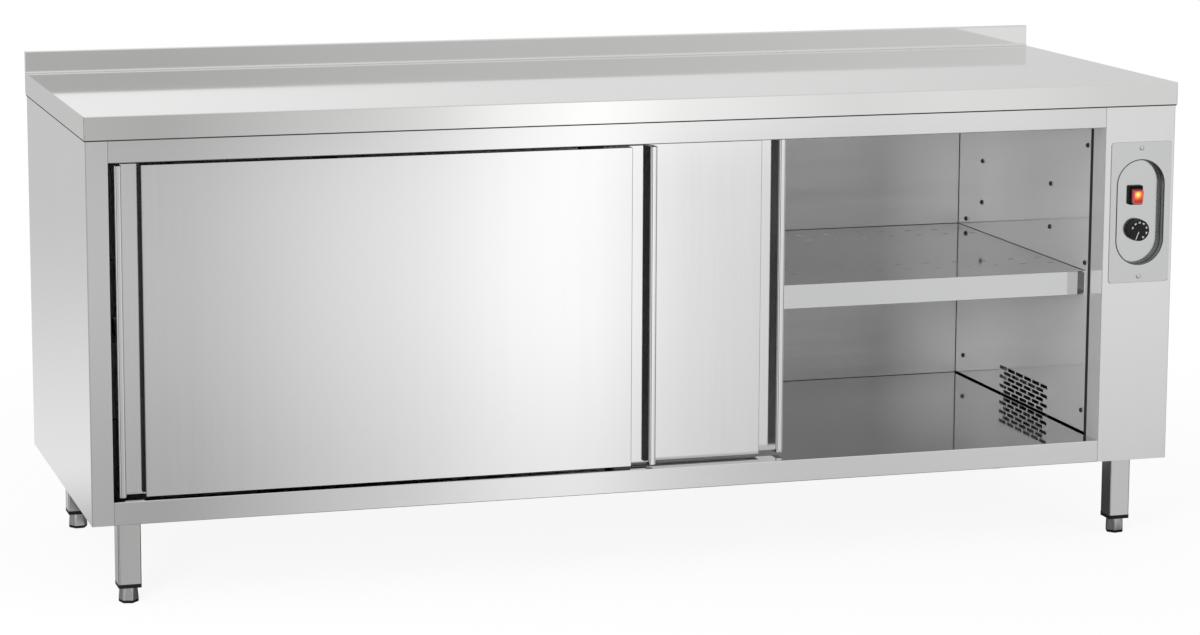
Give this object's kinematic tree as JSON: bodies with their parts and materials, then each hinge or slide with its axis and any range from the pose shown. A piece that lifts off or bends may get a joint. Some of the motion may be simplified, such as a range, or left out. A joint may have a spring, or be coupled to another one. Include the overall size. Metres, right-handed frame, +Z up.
{
  "type": "plate warming cabinet",
  "caption": "Stainless steel plate warming cabinet with sliding doors, a shelf, a worktop with rear upstand, a heated air outlet, a recessed control plate and screw feet.",
  "frame": {"origin": "on the floor, under the middle of the cabinet's overall box", "axes": "+X along the length to the right as seen from the front, +Y from the doors to the back, +Z up"},
  "size_m": [2, 0.7, 0.89],
  "materials": {
    "worktop_steel": "satin brushed along the length",
    "panel_steel": "satin",
    "lining_steel": "satin",
    "shelf_steel": "bright satin",
    "door_steel": "satin",
    "folded_steel": "plain sheet",
    "bezel_steel": "fine satin",
    "leg_steel": "satin tube",
    "foot_steel": "turned and satin",
    "thermostat_steel": "plain sheet",
    "shaft_steel": "ground",
    "heater_steel": "bright tube",
    "impeller_metal": "plain",
    "motor_metal": "semi-matt",
    "bright_screw": "polished",
    "mineral_wool": "matt fibre board",
    "slide_plastic": "self-lubricating",
    "roller_plastic": "turned",
    "stop_rubber": "matt",
    "switch_plastic": "fine satin",
    "lit_rocker": "translucent, lit from inside",
    "knob_plastic": "fine satin with white marks",
    "terminal_plastic": "matt",
    "gland_plastic": "matt",
    "cap_plastic": "matt",
    "pad_plastic": "matt"
  },
  "bodies": {
    "cabinet": {"worktop": "worktop_steel", "worktop_stiffeners": "folded_steel", "left_side_panel": "panel_steel", "right_side_panel": "panel_steel", "control_fascia": "panel_steel", "top_rail": "panel_steel", "floor_panel": "panel_steel", "back_panel": "panel_steel", "inner_back_wall": "lining_steel", "inner_left_wall": "lining_steel", "inner_right_wall": "lining_steel", "inner_ceiling": "lining_steel", "wall_insulation": "mineral_wool", "shelf": "shelf_steel", "shelf_supports": "shelf_steel", "wall_screws": "bright_screw", "door_track": "folded_steel", "bottom_guide": "slide_plastic", "door_buffers": "stop_rubber", "control_bezel": "bezel_steel", "bezel_screws": "bright_screw", "switch_housing": "switch_plastic", "thermostat_body": "thermostat_steel", "blower_housing": "folded_steel", "blower_motor": "motor_metal", "heating_element": "heater_steel", "terminal_block": "terminal_plastic", "cable_gland": "gland_plastic", "leg_plates": "folded_steel", "leg_caps": "cap_plastic", "leg_front_left": "leg_steel", "leg_front_right": "leg_steel", "leg_rear_left": "leg_steel", "leg_rear_right": "leg_steel"},
    "front_door": {"front_door_skin": "door_steel", "front_door_liner": "door_steel", "front_door_hangers": "folded_steel"},
    "rear_door": {"rear_door_skin": "door_steel", "rear_door_liner": "door_steel", "rear_door_hangers": "folded_steel"},
    "front_left_wheel": {"front_roller_left": "roller_plastic"},
    "front_right_wheel": {"front_roller_right": "roller_plastic"},
    "rear_left_wheel": {"rear_roller_left": "roller_plastic"},
    "rear_right_wheel": {"rear_roller_right": "roller_plastic"},
    "power_rocker": {"switch_rocker": "lit_rocker"},
    "thermostat_dial": {"thermostat_knob": "knob_plastic", "thermostat_shaft": "shaft_steel"},
    "blower_rotor": {"blower_impeller": "impeller_metal"},
    "screw_foot_front_left": {"foot_front_left": "foot_steel", "foot_pad_front_left": "pad_plastic"},
    "screw_foot_front_right": {"foot_front_right": "foot_steel", "foot_pad_front_right": "pad_plastic"},
    "screw_foot_rear_left": {"foot_rear_left": "foot_steel", "foot_pad_rear_left": "pad_plastic"},
    "screw_foot_rear_right": {"foot_rear_right": "foot_steel", "foot_pad_rear_right": "pad_plastic"}
  },
  "joints": [
    {"name": "front_door_slide", "type": "slide", "parent": "cabinet", "child": "front_door", "axis": [1, 0, 0], "range_m": [-0.008, 0.84]},
    {"name": "rear_door_slide", "type": "slide", "parent": "cabinet", "child": "rear_door", "axis": [1, 0, 0], "range_m": [-0.25, 0.59]},
    {"name": "front_left_wheel_spin", "type": "hinge", "parent": "front_door", "child": "front_left_wheel", "pos_m": [-0.8293, -0.329, 0.7903], "axis": [0, 1, 0], "range_deg": [-47, 4380]},
    {"name": "front_right_wheel_spin", "type": "hinge", "parent": "front_door", "child": "front_right_wheel", "pos_m": [-0.1123, -0.329, 0.7903], "axis": [0, 1, 0], "range_deg": [-47, 4380]},
    {"name": "rear_left_wheel_spin", "type": "hinge", "parent": "rear_door", "child": "rear_left_wheel", "pos_m": [-0.5776, -0.294, 0.7903], "axis": [0, 1, 0], "range_deg": [-1307, 3078]},
    {"name": "rear_right_wheel_spin", "type": "hinge", "parent": "rear_door", "child": "rear_right_wheel", "pos_m": [0.1394, -0.294, 0.7903], "axis": [0, 1, 0], "range_deg": [-1307, 3078]},
    {"name": "power_rocker_tip", "type": "hinge", "parent": "cabinet", "child": "power_rocker", "pos_m": [0.932, -0.3288, 0.643], "axis": [-1, 0, 0], "range_deg": [0, 16]},
    {"name": "thermostat_turn", "type": "hinge", "parent": "cabinet", "child": "thermostat_dial", "pos_m": [0.932, -0.337, 0.579], "axis": [0, 1, 0], "range_deg": [0, 270]},
    {"name": "blower_spin", "type": "hinge", "parent": "cabinet", "child": "blower_rotor", "pos_m": [0.917, 0, 0.234], "axis": [0, 1, 0], "continuous": true},
    {"name": "foot_front_left_travel", "type": "slide", "parent": "cabinet", "child": "screw_foot_front_left", "axis": [0, 0, -1], "range_m": [0, 0.05]},
    {"name": "foot_front_right_travel", "type": "slide", "parent": "cabinet", "child": "screw_foot_front_right", "axis": [0, 0, -1], "range_m": [0, 0.05]},
    {"name": "foot_rear_left_travel", "type": "slide", "parent": "cabinet", "child": "screw_foot_rear_left", "axis": [0, 0, -1], "range_m": [0, 0.05]},
    {"name": "foot_rear_right_travel", "type": "slide", "parent": "cabinet", "child": "screw_foot_rear_right", "axis": [0, 0, -1], "range_m": [0, 0.05]}
  ],
  "couplings": [
    {"joint": "front_left_wheel_spin", "follows": "front_door_slide", "rad_per_m": 90.909},
    {"joint": "front_right_wheel_spin", "follows": "front_door_slide", "rad_per_m": 90.909},
    {"joint": "rear_left_wheel_spin", "follows": "rear_door_slide", "rad_per_m": 90.909},
    {"joint": "rear_right_wheel_spin", "follows": "rear_door_slide", "rad_per_m": 90.909}
  ]
}
